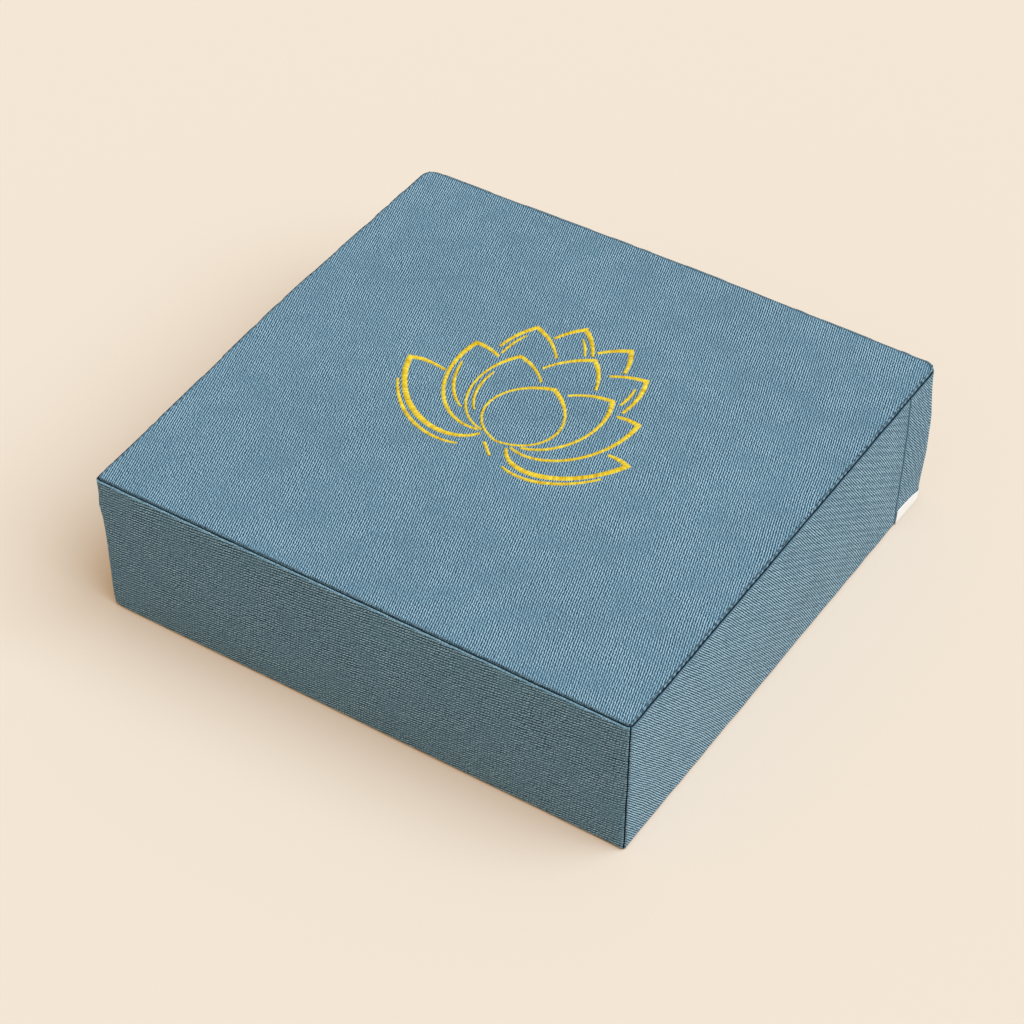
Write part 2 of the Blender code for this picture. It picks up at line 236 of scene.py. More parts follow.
def buildTwillWeave():
    # a diagonal twill: straight ribs broken into floats, clear in some patches and faint in others
    tree, given, made = newGroup(
        "twillWeave",
        (
            ("Cloth", "NodeSocketVector", None),
            ("Rib Pitch", "NodeSocketFloat", 0.0018),
            ("Float Length", "NodeSocketFloat", 0.006),
            ("Float Step", "NodeSocketFloat", 0.5),
            ("Float Depth", "NodeSocketFloat", 0.2),
            ("Patchiness", "NodeSocketFloat", 0.6),
        ),
        (("Rib", "NodeSocketFloat"), ("Fuzz", "NodeSocketFloat"), ("Mottle", "NodeSocketFloat")),
    )
    s = Sketch(tree)
    cloth = given.outputs["Cloth"]
    axes = s.axes(cloth)
    across = s.math("DIVIDE", axes["X"], given.outputs["Rib Pitch"])
    along = s.math("DIVIDE", axes["Y"], given.outputs["Float Length"])
    sway = s.math("MULTIPLY", s.math("SUBTRACT", s.noise(cloth, 14, 2), 0.5), 2.4)
    jitter = s.math("MULTIPLY", s.math("SUBTRACT", s.noise(cloth, 420, 1), 0.5), 0.7)
    phase = s.math("ADD", across, s.math("ADD", sway, jitter))
    ribs = s.math("MULTIPLY_ADD", s.math("SINE", s.math("MULTIPLY", phase, math.tau)), 0.5, 0.5)
    steps = s.math("ADD", along, s.math("MULTIPLY", across, given.outputs["Float Step"]))
    steps = s.math("ADD", steps, s.math("MULTIPLY", s.noise(cloth, 200, 1), 1.2))
    floats = s.math("MULTIPLY_ADD", s.math("SINE", s.math("MULTIPLY", steps, math.tau)), 0.5, 0.5)
    dip = s.math("MULTIPLY", s.math("SUBTRACT", 1.0, floats), given.outputs["Float Depth"])
    broken = s.math("MULTIPLY", ribs, s.math("SUBTRACT", 1.0, dip))
    patch = s.mapRange(s.noise(cloth, 38, 3, 0.65), 0.38, 0.62, 0.0, 1.0)
    faint = s.math("MULTIPLY", s.math("SUBTRACT", 1.0, patch), given.outputs["Patchiness"])
    centred = s.math("MULTIPLY", s.math("SUBTRACT", broken, ribMiddle), s.math("SUBTRACT", 1.0, faint))
    s.link(s.math("ADD", centred, ribMiddle, clamp=True), made.inputs["Rib"])
    # short yarn ends, longer across the rib than along it
    spread = s.node("ShaderNodeVectorMath", operation="MULTIPLY")
    s.link(cloth, spread.inputs[0])
    spread.inputs[1].default_value = (950, 1250, 1)
    s.link(s.noise(spread.outputs[0], 1, 2, 0.7), made.inputs["Fuzz"])
    s.link(s.noise(cloth, 9, 3, 0.55), made.inputs["Mottle"])
    return tree


twillWeave = buildTwillWeave()

coverCloth = {
    "valley": linear(18, 50, 70),
    "yarn": linear(103, 137, 155),
    "crest": linear(196, 228, 240),
    "yarnTone": 0.42,  # where the yarn's own colour lies between valley and crest
    "ribPitch": 1.79 * mm,
    "floatLength": 3.6 * mm,
    "floatStep": 0.3,
    "floatDepth": 0.3,
    "patchiness": 0.45,
    "fade": 1,  # above 1 the ribs are clearer at the front than at the back
    "contrast": 1.28,  # how strongly the ribs show
    "fuzz": 1.5,
    "mottle": 0.04,
    "roughness": 0.9,
    # the colour is scaled by the cloth's own tone, and on the front and sides also by a painted shade
    "toneAndPaintedLight": (0.745, 0.835, 0.895),
    "edge": 1.0,  # painted highlight: how light the turned edge is made
    "flatten": -0.5,  # how far before the edge the ribs begin to flatten
    "paintedGrooveShade": (0.68, 0.86),  # where painted shade darkens the turned edge in the seam
}
# the light rakes each side of the cushion in its own way, so the ribs stand out more or less; each side is
# also its own copy of the cloth with a painted shade, the front and sides darker than the top
clothOn = {
    "top": {},
    "front": {
        "contrast": 1.25,
        "fuzz": 1.7,
        "ribPitch": 2.45 * mm,
        "floatLength": 2.6 * mm,
        "floatStep": 1.24,
        "floatDepth": 0.6,
        "toneAndPaintedLight": (0.745, 0.80, 0.825),
        "edge": 1.9,
        "flatten": -0.22,
        "paintedGrooveShade": (0.42, 0.62),
    },
    "side": {
        "contrast": 1.9,
        "fade": 1.22,
        "fuzz": 1.2,
        "ribPitch": 1.66 * mm,
        "floatLength": 18 * mm,
        "toneAndPaintedLight": (0.655, 0.745, 0.805),
        "paintedGrooveShade": (0.3, 0.56),
    },
}


def makeCoverCloth(place):
    settings = {**coverCloth, **clothOn[place]}
    # each side gets its own copy of the cloth, with its own painted shade
    material, s, shader = newMaterial("coverTwill" + place.capitalize())
    weave = s.node("ShaderNodeGroup", node_tree=twillWeave)
    cut = s.node("ShaderNodeUVMap", uv_map="cut")
    s.link(cut.outputs["UV"], weave.inputs["Cloth"])
    setSockets(weave, {
        "Rib Pitch": settings["ribPitch"],
        "Float Length": settings["floatLength"],
        "Float Step": settings["floatStep"],
        "Float Depth": settings["floatDepth"],
        "Patchiness": settings["patchiness"],
    })
    rib, fuzz, mottle = (weave.outputs[label] for label in ("Rib", "Fuzz", "Mottle"))
    # the ribs flatten at the turned edge, which can carry a painted highlight, and deep in a seam the cloth
    # is darkened with painted shade
    seam = s.node("ShaderNodeAttribute", attribute_name="seam").outputs["Fac"]
    clear = s.mapRange(seam, settings["flatten"], -0.05, settings["contrast"], 0.1)
    fade = settings["fade"]
    if fade != 1:
        place = s.axes(s.objectPlace())
        clear = s.math("MULTIPLY", clear, s.mapRange(place["Y"], -half, half, fade, 2 - fade))
    ribTone = s.math("MULTIPLY", s.math("SUBTRACT", rib, ribMiddle), clear)
    fuzzTone = s.math("MULTIPLY", s.math("SUBTRACT", fuzz, 0.5), settings["fuzz"])
    tone = s.math("ADD", s.math("ADD", ribTone, fuzzTone), settings["yarnTone"])
    low = s.mix(s.mapRange(tone, 0.0, settings["yarnTone"], 0.0, 1.0), settings["valley"], settings["yarn"])
    colour = s.mix(s.mapRange(tone, settings["yarnTone"], 1.0, 0.0, 1.0), low, settings["crest"])
    toneAndPaintedLight = s.mapRange(mottle, 0.3, 0.7, 1 - settings["mottle"], 1 + settings["mottle"])
    # painted highlight along the turned edge
    toneAndPaintedLight = s.math("MULTIPLY", toneAndPaintedLight, s.mapRange(seam, -0.24, -0.1, 1.0, settings["edge"]))
    # painted shade deep in the seam
    toneAndPaintedLight = s.math("MULTIPLY", toneAndPaintedLight, s.mapRange(seam, *settings["paintedGrooveShade"], 1.0, 0.06))
    # each side's painted shade scales the colour
    grey = s.node("ShaderNodeCombineColor")
    for socket, level in zip(grey.inputs, settings["toneAndPaintedLight"]):
        s.link(s.math("MULTIPLY", toneAndPaintedLight, level), socket)
    s.link(s.mix(1.0, colour, grey.outputs[0], "MULTIPLY"), shader.inputs["Base Color"])
    relief = s.math("MULTIPLY_ADD", rib, settings["contrast"], s.math("MULTIPLY", fuzz, 0.35))
    s.link(s.bump(relief, 0.35, 0.25 * mm), shader.inputs["Normal"])
    setSockets(shader, {
        "Roughness": settings["roughness"],
        "Specular IOR Level": 0.15,
        "Sheen Weight": 0.06,
        "Sheen Roughness": 0.5,
    })
    return material


goldThread = {"dark": linear(194, 154, 0), "body": linear(244, 210, 10), "light": linear(255, 250, 110)}


def makeGoldThread():
    # each stitch has its own tone, and fine twist lines run round the thread
    material, s, shader = newMaterial("goldThread")
    tone = s.node("ShaderNodeAttribute", attribute_name="stitch").outputs["Fac"]
    place = s.objectPlace()
    twist = s.noise(place, 2600, 2, 0.6)
    streak = s.noise(place, 160, 2, 0.5)
    blend = s.math("ADD", s.math("MULTIPLY", tone, 0.55), s.math("MULTIPLY", streak, 0.5))
    low = s.mix(s.mapRange(blend, 0.2, 0.55, 0.0, 1.0), goldThread["dark"], goldThread["body"])
    colour = s.mix(s.mapRange(blend, 0.55, 0.95, 0.0, 0.9), low, goldThread["light"])
    s.link(colour, shader.inputs["Base Color"])
    s.link(s.mapRange(twist, 0.3, 0.7, 0.32, 0.5), shader.inputs["Roughness"])
    s.link(s.bump(twist, 0.3, 0.05 * mm), shader.inputs["Normal"])
    setSockets(shader, {"Sheen Weight": 0.04, "Specular IOR Level": 0.35})
    return material


def makePlainWeave(name, dark, light, threads, relief=0.2):
    # over and under threads on Object coordinates, for tapes, case cloth and ribbon
    material, s, shader = newMaterial(name)
    place = s.objectPlace()
    waves = [s.math("SINE", s.math("MULTIPLY", axis, math.tau / threads)) for axis in s.axes(place)]
    weave = s.math("MULTIPLY", s.math("ADD", waves[0], waves[1]), 0.25)
    weave = s.math("ADD", s.math("MULTIPLY_ADD", waves[2], 0.2, weave), 0.5)
    fibre = s.noise(place, 1400, 3, 0.65)
    tone = s.math("MULTIPLY_ADD", fibre, 0.5, s.math("MULTIPLY", weave, 0.5))
    s.link(s.mix(s.mapRange(tone, 0.25, 0.75, 0.0, 1.0), dark, light), shader.inputs["Base Color"])
    s.link(s.bump(tone, 0.4, relief * mm), shader.inputs["Normal"])
    setSockets(shader, {"Roughness": 0.85, "Sheen Weight": 0.1})
    return material


def makeFoam():
    # open cells, darker towards each cell's middle as painted shade in the pores, and yellower where the
    # foam has aged
    material, s, shader = newMaterial("foamCells")
    place = s.objectPlace()
    cells = s.node("ShaderNodeTexVoronoi", feature="F1")
    s.link(place, cells.inputs["Vector"])
    cells.inputs["Scale"].default_value = 700
    depth = s.mapRange(cells.outputs["Distance"], 0.1, 0.7, 1.0, 0.0)
    age = s.noise(place, 12, 2)
    # painted shade: the colour darkens where the cells are deepest
    colour = s.mix(s.math("MULTIPLY", depth, 0.6), linear(226, 216, 186), linear(176, 160, 122))
    colour = s.mix(s.mapRange(age, 0.4, 0.7, 0.0, 0.3), colour, linear(214, 196, 150))
    s.link(colour, shader.inputs["Base Color"])
    s.link(s.bump(depth, 0.6, 0.4 * mm), shader.inputs["Normal"])
    shader.inputs["Roughness"].default_value = 0.95
    return material


def makeWadding():
    material, s, shader = newMaterial("waddingFibres")
    place = s.objectPlace()
    strands = s.noise(place, 220, 5, 0.75, 2.5)
    pale = s.mapRange(strands, 0.3, 0.7, 0.0, 1.0)
    s.link(s.mix(pale, linear(206, 206, 200), linear(250, 250, 246)), shader.inputs["Base Color"])
    s.link(s.bump(strands, 0.7, 1.2 * mm), shader.inputs["Normal"])
    shader.inputs["Roughness"].default_value = 1.0
    return material


def makeMetal(name, base, wear):
    # die-cast and tumbled: a fine grain with slightly dull patches
    material, s, shader = newMaterial(name)
    place = s.objectPlace()
    grain = s.noise(place, 1800, 3, 0.6)
    clouds = s.noise(place, 190, 2)
    s.link(s.mix(s.mapRange(clouds, 0.35, 0.7, 0.0, 0.6), base, wear), shader.inputs["Base Color"])
    s.link(s.mapRange(s.math("ADD", grain, clouds), 0.7, 1.3, 0.24, 0.42), shader.inputs["Roughness"])
    s.link(s.bump(grain, 0.15, 0.03 * mm), shader.inputs["Normal"])
    shader.inputs["Metallic"].default_value = 1.0
    return material


def makeNylon():
    material, s, shader = newMaterial("coilNylon")
    place = s.objectPlace()
    tint = s.noise(place, 240, 2)
    s.link(s.mix(tint, linear(74, 102, 120), linear(112, 142, 158)), shader.inputs["Base Color"])
    s.link(s.mapRange(tint, 0.3, 0.7, 0.32, 0.46), shader.inputs["Roughness"])
    s.link(s.bump(s.noise(place, 2200, 2), 0.15, 0.03 * mm), shader.inputs["Normal"])
    return material


# The cover: a closed shell is puffed out by cloth simulation, then cut along its seams

shellShape = {
    "cells": 64,
    "rows": 13,
    "crowding": 0.6,  # how far the grid bunches towards the edges
    "rowCrowding": 0.4,
    "radii": {(-1, -1): 3.5 * mm, (1, -1): 3 * mm, (1, 1): 12 * mm, (-1, 1): 12 * mm},
    "windowHalfHeight": 5.5 * mm,
    "windowHalfLength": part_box("zip_top_stop")[1].x + 0.6 * mm,
}
# how far the middle of each panel may swell
swell = {
    "top_panel": 2.6 * mm,
    "base_panel": 0.0,
    "front_boxing": 2.6 * mm,
    "right_boxing": 3.2 * mm,
    "left_boxing": 2.6 * mm,
    "back_boxing": 2.0 * mm,
}
panelNames = [*swell, "zip_window"]


def crowd(share, amount):
    return share - amount * math.sin(math.tau * share) / math.tau


def snapLine(verts, axis, target, tolerance=1e-6):
    # the grid line nearest to the target is moved onto it
    nearest = min({round(v.co[axis], 7) for v in verts}, key=lambda value: abs(value - target))
    for vert in verts:
        if abs(vert.co[axis] - nearest) < tolerance:
            vert.co[axis] = target


def roundCorners(verts, radii):
    for vert in verts:
        signs = (1 if vert.co.x > 0 else -1, 1 if vert.co.y > 0 else -1)
        radius = radii[signs]
        past = [(vert.co[i] * signs[i] - (half - radius)) / radius for i in (0, 1)]
        if min(past) > 0:
            pull = max(past) / math.hypot(*past)
            for i in (0, 1):
                vert.co[i] = signs[i] * (half - radius + past[i] * pull * radius)


def whichPanel(face):
    middle = face.calc_center_median()
    if abs(face.normal.z) > 0.7:
        return "top_panel" if middle.z > height / 2 else "base_panel"
    if middle.y > seamY:
        inWindow = (abs(middle.x) < shellShape["windowHalfLength"]
                    and abs(middle.z - zipZ) < shellShape["windowHalfHeight"] and face.normal.y > 0.9)
        return "zip_window" if inWindow else "back_boxing"
    if half + middle.y < half - abs(middle.x):
        return "front_boxing"
    return "right_boxing" if middle.x > 0 else "left_boxing"


def makeShell():
    cells, rows = shellShape["cells"], shellShape["rows"]
    bm = bmesh.new()
    bmesh.ops.create_grid(bm, x_segments=cells, y_segments=cells, size=0.5)
    for vert in bm.verts:
        for axis in (0, 1):
            vert.co[axis] = (crowd(vert.co[axis] + 0.5, shellShape["crowding"]) - 0.5) * 2 * half
        vert.co.z = height
    verts = list(bm.verts)
    snapLine(verts, 1, seamY)
    snapLine(verts, 0, shellShape["windowHalfLength"])
    snapLine(verts, 0, -shellShape["windowHalfLength"])
    roundCorners(verts, shellShape["radii"])
    levels = [height * (1 - crowd(row / rows, shellShape["rowCrowding"])) for row in range(1, rows + 1)]
    for side in (1, -1):
        target = zipZ + side * shellShape["windowHalfHeight"]
        nearest = min(range(rows), key=lambda row: abs(levels[row] - target))
        levels[nearest] = target
    topFaces = list(bm.faces)
    edges = [edge for edge in bm.edges if edge.is_boundary]
    for level in levels:
        grown = bmesh.ops.extrude_edge_only(bm, edges=edges)["geom"]
        edges = openEdges(grown)
        for vert in newVerts(grown):
            vert.co.z = level
    base = bmesh.ops.duplicate(bm, geom=topFaces)["geom"]
    moveVerts(bm, newVerts(base), Matrix.Translation((0, 0, -height)))
    bmesh.ops.reverse_faces(bm, faces=[item for item in base if isinstance(item, bmesh.types.BMFace)])
    bmesh.ops.remove_doubles(bm, verts=bm.verts, dist=1e-5)
    bmesh.ops.recalc_face_normals(bm, faces=bm.faces)
    for face in bm.faces:
        face.material_index = panelNames.index(whichPanel(face))
    crease = bm.edges.layers.float.new("crease_edge")
    for edge in bm.edges:
        if len({face.material_index for face in edge.link_faces}) > 1:
            edge[crease] = 1.0
    mesh = bpy.data.meshes.new("shell")
    bm.to_mesh(mesh)
    bm.free()
    for name in panelNames:
        mesh.materials.append(bpy.data.materials.new("cut_" + name))
    shell = bpy.data.objects.new("shell", mesh)
    shown.link(shell)
    print("shell:", len(mesh.vertices), "points")
    return shell


def panelsAtPoints(mesh):
    # which panels each point belongs to: more than one at a seam
    panels = {}
    for face in mesh.polygons:
        for index in face.vertices:
            panels.setdefault(index, set()).add(face.material_index)
    return panels


puff = {"frames": 20, "quality": 6, "pressure": 3.0, "tension": 25.0, "bending": 1.5, "mass": 0.35}
# the back wall stays flat where the zip and its turned pull lie
keptFlat = {"depth": 14 * mm, "halfHeight": 7 * mm, "pullFade": 9 * mm, "windowFade": 22 * mm}


def pullRoom(place):
    # 0 on the back wall where the turned pull can lie, rising to 1 a little way off
    if place.y < half - keptFlat["depth"]:
        return 1.0
    past = (abs(place.x) - pullReach, abs(place.z - zipZ) - keptFlat["halfHeight"])
    return min(1.0, math.hypot(*(max(0.0, p) for p in past)) / keptFlat["pullFade"])


def puffShell(shell):
    mesh = shell.data
    rest = np.array([v.co for v in mesh.vertices])
    panels = panelsAtPoints(mesh)
    held = shell.vertex_groups.new(name="held")
    window = panelNames.index("zip_window")
    held.add([i for i, found in panels.items() if len(found) > 1 or window in found], 1.0, "REPLACE")
    cloth = shell.modifiers.new("puff", "CLOTH")
    ways = cloth.settings
    ways.quality = puff["quality"]
    ways.mass = puff["mass"]
    ways.tension_stiffness = puff["tension"]
    ways.compression_stiffness = puff["tension"]
    ways.bending_stiffness = puff["bending"]
    ways.use_pressure = True
    ways.uniform_pressure_force = puff["pressure"]
    ways.vertex_group_mass = "held"
    ways.effector_weights.gravity = 0
    cloth.point_cache.frame_start = 1
    cloth.point_cache.frame_end = puff["frames"]
    for step in range(1, puff["frames"] + 1):
        bpy.context.scene.frame_set(step)
    applyModifiers(shell)
    bpy.context.scene.frame_set(1)
    moved = np.array([v.co for v in shell.data.vertices]) - rest
    for panel, name in enumerate(panelNames[:-1]):
        inside = np.array([i for i, found in panels.items() if found == {panel}])
        most = np.linalg.norm(moved[inside], axis=1).max()
        print("  swell of", name, round(most / mm, 2), "mm, kept to", round(swell[name] / mm, 2))
        moved[inside] *= min(1.0, swell[name] / max(most, 1e-9))
    room = np.array([pullRoom(Vector(place)) for place in rest])
    moved[:, 1] = np.where(moved[:, 1] > 0, moved[:, 1] * room, moved[:, 1])
    shell.data.vertices.foreach_set("co", (rest + moved).astype(np.float32).ravel())
    shell.data.update()


# how far each corner of the cover is pulled, in millimetres, by its side in X, Y and Z
cornerPulls = {
    (-1, -1, 1): (-2.0, 4.0, 0.5),
    (-1, 1, 1): (-12.0, 1.5, 1.5),
    (1, 1, 1): (4.0, 1.5, 1.5),
    (1, -1, 1): (7.0, 0.5, -1.5),
    (-1, -1, 0): (2.0, 5.5, 0.0),
    (-1, 1, 0): (-9.0, 0.0, 0.0),
    (1, 1, 0): (2.5, -1.5, 0.0),
    (1, -1, 0): (4.0, 0.8, 0.0),
}
pushFall = 1.4  # how fast a push fades with distance
# where a hand would push the cover in or pull it out: middle, reach and push, all in millimetres
pushes = (
    ((-228, -228, 66), (30, 30, 38), (1.7, -0.6, 0)),
    ((-228, -228, 100), (26, 26, 9), (-0.9, -0.5, 0)),
    ((-228, -228, 0), (7, 7, 7), (0.6, 0.6, 0)),
    ((-228, 20, 127), (50, 150, 70), (-3.6, 0, 0)),
    ((10, 228, 127), (170, 40, 50), (0, 3.2, 0)),
    ((224, 224, 66), (40, 40, 44), (3.4, 2.4, 0)),
    ((224, 224, 24), (34, 34, 20), (0.2, 0.4, 0)),
    ((228, -228, 20), (20, 20, 26), (0.6, -0.5, 0)),
    ((60, -228, 60), (90, 14, 46), (0, -0.9, 0)),
    ((-120, -228, 70), (80, 14, 40), (0, -0.6, 0)),
    ((228, 40, 64), (14, 90, 42), (0.8, 0, 0)),
    ((228, 184, 40), (14, 24, 110), (0, -4.2, 0)),
)
# small unevenness of the cover, in millimetres
ripple = {
    "depth": 0.25,
    "reach": 14.0,
    "wave": 17.0,
    "calm": 3.0,  # puckers grow over this distance from a seam
    "broad": 0.4,
    "broadWave": 80.0,
    "broadCalm": 20.0,
    "wander": 0.4,  # how far a seam wanders to each side
    "wanderWave": 19.0,
}


def subdivide(shell):
    divide = shell.modifiers.new("divide", "SUBSURF")
    divide.levels = 1
    divide.render_levels = 1
    divide.use_limit_surface = False
    applyModifiers(shell)


def cornerPull(place):
    # the eight pulls, blended across the cushion
    shares = (place.x / half / 2 + 0.5, place.y / half / 2 + 0.5, place.z / height)
    pull = Vector()
    for sides, amount in cornerPulls.items():
        weight = 1
        for side, share in zip(sides, shares):
            weight *= share if side > 0 else 1 - share
        pull += Vector(amount) * weight
    return pull


def windowDistance(place):
    # how far a point of the back wall is from the zip's window, in metres
    past = (
        abs(place.x) - shellShape["windowHalfLength"],
        abs(place.z - zipZ) - shellShape["windowHalfHeight"],
        half - place.y,
    )
    return math.hypot(*(max(0.0, p) for p in past))


def handShape(shell):
    mesh = shell.data
    panels = panelsAtPoints(mesh)
    seams = [i for i, found in panels.items() if len(found) > 1]
    tree = KDTree(len(seams))
    for i in seams:
        tree.insert(mesh.vertices[i].co, i)
    tree.balance()
    normals = [v.normal.copy() for v in mesh.vertices]
    moved = []
    for vert in mesh.vertices:
        place = vert.co / mm
        shift = cornerPull(vert.co)
        for middle, reach, push in pushes:
            away = sum(((place[i] - middle[i]) / reach[i]) ** 2 for i in range(3))
            shift += Vector(push) * math.exp(-away * pushFall)
        edge = tree.find(vert.co)[2] / mm
        near = math.exp(-((edge / ripple["reach"]) ** 2))
        pucker = noise.noise(place / ripple["wave"]) * ripple["depth"] * near
        pucker *= min(1.0, edge / ripple["calm"])
        broad = noise.noise(place / ripple["broadWave"] + Vector((7, 3, 1))) * ripple["broad"]
        broad *= min(1.0, edge / ripple["broadCalm"])
        shift += normals[vert.index] * (pucker + broad)
        if place.z > 1:
            # the seam on the right wanders most
            side = 0.3 + 0.7 * min(1.0, max(0.0, place.x / 100 - 1))
            shift += noise.noise_vector(place / ripple["wanderWave"]) * ripple["wander"] * near * side
        if shift.y > 0:
            shift.y *= pullRoom(vert.co)
        free = min(1.0, windowDistance(vert.co) / keptFlat["windowFade"])
        shift *= free * free * (3 - 2 * free)
        shift.z *= min(1.0, place.z / 6)
        moved.append(vert.co + shift * mm)
    for vert, place in zip(mesh.vertices, moved):
        vert.co = place
        vert.co.z = max(vert.co.z, 0.0)
    mesh.update()


def storeOutward(mesh):
    # the shell's own normals say which way a seam turns in
    layer = mesh.attributes.new("outward", "FLOAT_VECTOR", "POINT")
    layer.data.foreach_set("vector", [x for v in mesh.vertices for x in v.normal])


seamTurn = {
    "radius": 1.05 * mm,
    "gap": 0.12 * mm,  # left open on each side of the stitching
    "steps": 6,
    "tail": 1.6 * mm,
    "thickness": 0.55 * mm,
}
grainLean = 0.12  # the side's grain leans over a little more towards the back
# the grain of each cut piece, in degrees
grain = {
    "top_panel": -17,
    "base_panel": 4,
    "front_boxing": 83,
    "right_boxing": -38,
    "left_boxing": 40,
    "back_boxing": 38,
}


def rollEdges(bm):
    # every cut edge turns over into its seam
    outward = bm.verts.layers.float_vector["outward"]
    depth = bm.verts.layers.float.new("seam")
    edges = [edge for edge in bm.edges if edge.is_boundary]
    starts = {}
    for edge in edges:
        face = edge.link_faces[0]
        middle = (edge.verts[0].co + edge.verts[1].co) / 2
        line = (edge.verts[1].co - edge.verts[0].co).normalized()
        out = middle - face.calc_center_median()
        out -= line * out.dot(line)
        for vert in edge.verts:
            starts.setdefault(vert, Vector()).__iadd__(out.normalized())
    for vert in bm.verts:
        vert[depth] = 0.0 if vert in starts else -0.5
    plans = {}
    for vert, out in starts.items():
        normal = vert.normal.copy()
        out = (out - normal * out.dot(normal)).normalized()
        dive = -Vector(vert[outward]).normalized()
        dive = (out * dive.dot(out) + normal * dive.dot(normal)).normalized()
        turn = out.angle(dive)
        back = seamTurn["radius"] * math.tan(turn / 2) + seamTurn["gap"]
        plans[tuple(vert.co)] = (vert.co - out * back, out, normal, turn, dive)
    where = {vert: plans[tuple(vert.co)] for vert in starts}
    for vert, plan in where.items():
        vert.co = plan[0]
    radius, steps = seamTurn["radius"], seamTurn["steps"]
    for step in range(1, steps + 2):
        grown = bmesh.ops.extrude_edge_only(bm, edges=edges)["geom"]
        edges = openEdges(grown)
        older = {}
        for vert in newVerts(grown):
            for edge in vert.link_edges:
                other = edge.other_vert(vert)
                if other in where:
                    older[vert] = where[other]
        for vert, plan in older.items():
            start, out, normal, turn, dive = plan
            angle = turn * min(step, steps) / steps
            vert.co = start + (out * math.sin(angle) - normal * (1 - math.cos(angle))) * radius
            vert[depth] = min(1.0, step / steps)
            if step > steps:
                vert.co += dive * seamTurn["tail"]
        where = older


def wallRun(place):
    # distance along the back boxing, round both of its corners
    radius = shellShape["radii"][(1, 1)]
    centre = half - radius
    wrap = centre - seamY
    side = 1 if place.x > 0 else -1
    reach = abs(place.x)
    if place.y > centre and reach > centre:
        run = wrap + radius * math.atan2(place.y - centre, reach - centre)
    elif reach > centre:
        run = place.y - seamY
    else:
        run = wrap + radius * math.pi / 2 + centre - reach
    full = wrap + radius * math.pi / 2 + centre
    return side * (full - run)


def layOut(bm, name):
    # UV in metres on the cut piece, turned to its grain
    uvLayer = bm.loops.layers.uv.new("cut")
    turn = Matrix.Rotation(math.radians(grain[name]), 2)
    for face in bm.faces:
        for loop in face.loops:
            place = loop.vert.co
            if name in ("top_panel", "base_panel"):
                flat = Vector((place.x, place.y))
            elif name == "front_boxing":
                flat = Vector((place.x, place.z))
            elif name == "back_boxing":
                flat = Vector((wallRun(place), place.z))
            else:
                flat = Vector((place.y, place.z * (1 - grainLean * place.y / half)))
            loop[uvLayer].uv = turn @ flat


def cutPanels(shell):
    # gives back the top, for the embroidery to lie on
    pieces = {}
    cloths = {place: makeCoverCloth(place) for place in clothOn}
    # which side's painted-shade copy of the cloth each panel takes
    shadedCopyOf = {"top_panel": "top", "base_panel": "top", "front_boxing": "front"}
    for panel, name in enumerate(panelNames[:-1]):
        bm = bmesh.new()
        bm.from_mesh(shell.data)
        others = [face for face in bm.faces if face.material_index != panel]
        bmesh.ops.delete(bm, geom=others, context="FACES")
        for face in bm.faces:
            face.material_index = 0
        bm.normal_update()
        rollEdges(bm)
        layOut(bm, name)
        bm.normal_update()
        cloth = cloths[shadedCopyOf.get(name, "side")]
        piece = addPiece("cover_" + name, bm, cloth, replaces=(name,))
        addThickness(piece, seamTurn["thickness"], -1)
        pieces[name] = piece
        print("panel", name, len(piece.data.polygons), "faces")
    return pieces["top_panel"]


def surfaceOf(piece):
    bm = bmesh.new()
    bm.from_mesh(piece.data)
    tree = BVHTree.FromBMesh(bm)
    bm.free()
    return tree


# The embroidery: satin stitches laid side by side across each line

satin = {
    "pitch": 0.40 * mm,
    "thread": 0.23 * mm,  # half thickness
    "dome": 0.62 * mm,
    "slant": 0.5 * mm,
    "ragged": 0.5 * mm,
    "seed": 11,
    # how far along a stitch its points are, and how high each stands
    "shares": (-0.02, 0.12, 0.36, 0.64, 0.88, 1.02),
    "rise": (-0.35, 0.42, 0.95, 0.95, 0.42, -0.35),
}


def ribbonSides(node):
    # the two long sides of a CAD line, from the order of the points round its top
    bm = bmesh.new()
    bm.from_mesh(frame["nodes"][node].data)
    bmesh.ops.remove_doubles(bm, verts=bm.verts, dist=1e-6)
    top = max(v.co.z for v in bm.verts)
    faces = [f for f in bm.faces if all(top - v.co.z < 1e-5 for v in f.verts)]
    rim = [e for e in bm.edges if sum(f in faces for f in e.link_faces) == 1]
    links = {}
    for edge in rim:
        for vert in edge.verts:
            links.setdefault(vert, []).append(edge.other_vert(vert))
    first = min(links, key=lambda v: v.index)
    ring, previous, current = [first], None, first
    while True:
        following = [v for v in links[current] if v is not previous][0]
        if following is first:
            break
        ring.append(following)
        previous, current = current, following
    points = np.array([v.co.xy for v in ring])
    bm.free()
    count = len(points) // 2
    best = None
    for start in range(len(points)):
        turned = np.roll(points, -start, axis=0)
        left, right = turned[:count], turned[count:][::-1]
        width = np.linalg.norm(left - right, axis=1).sum()
        if best is None or width < best[0]:
            best = (width, left, right)
    return best[1], best[2]


def resample(points, distance, along):
    return np.stack([np.interp(along, distance, points[:, k]) for k in (0, 1)], axis=1)


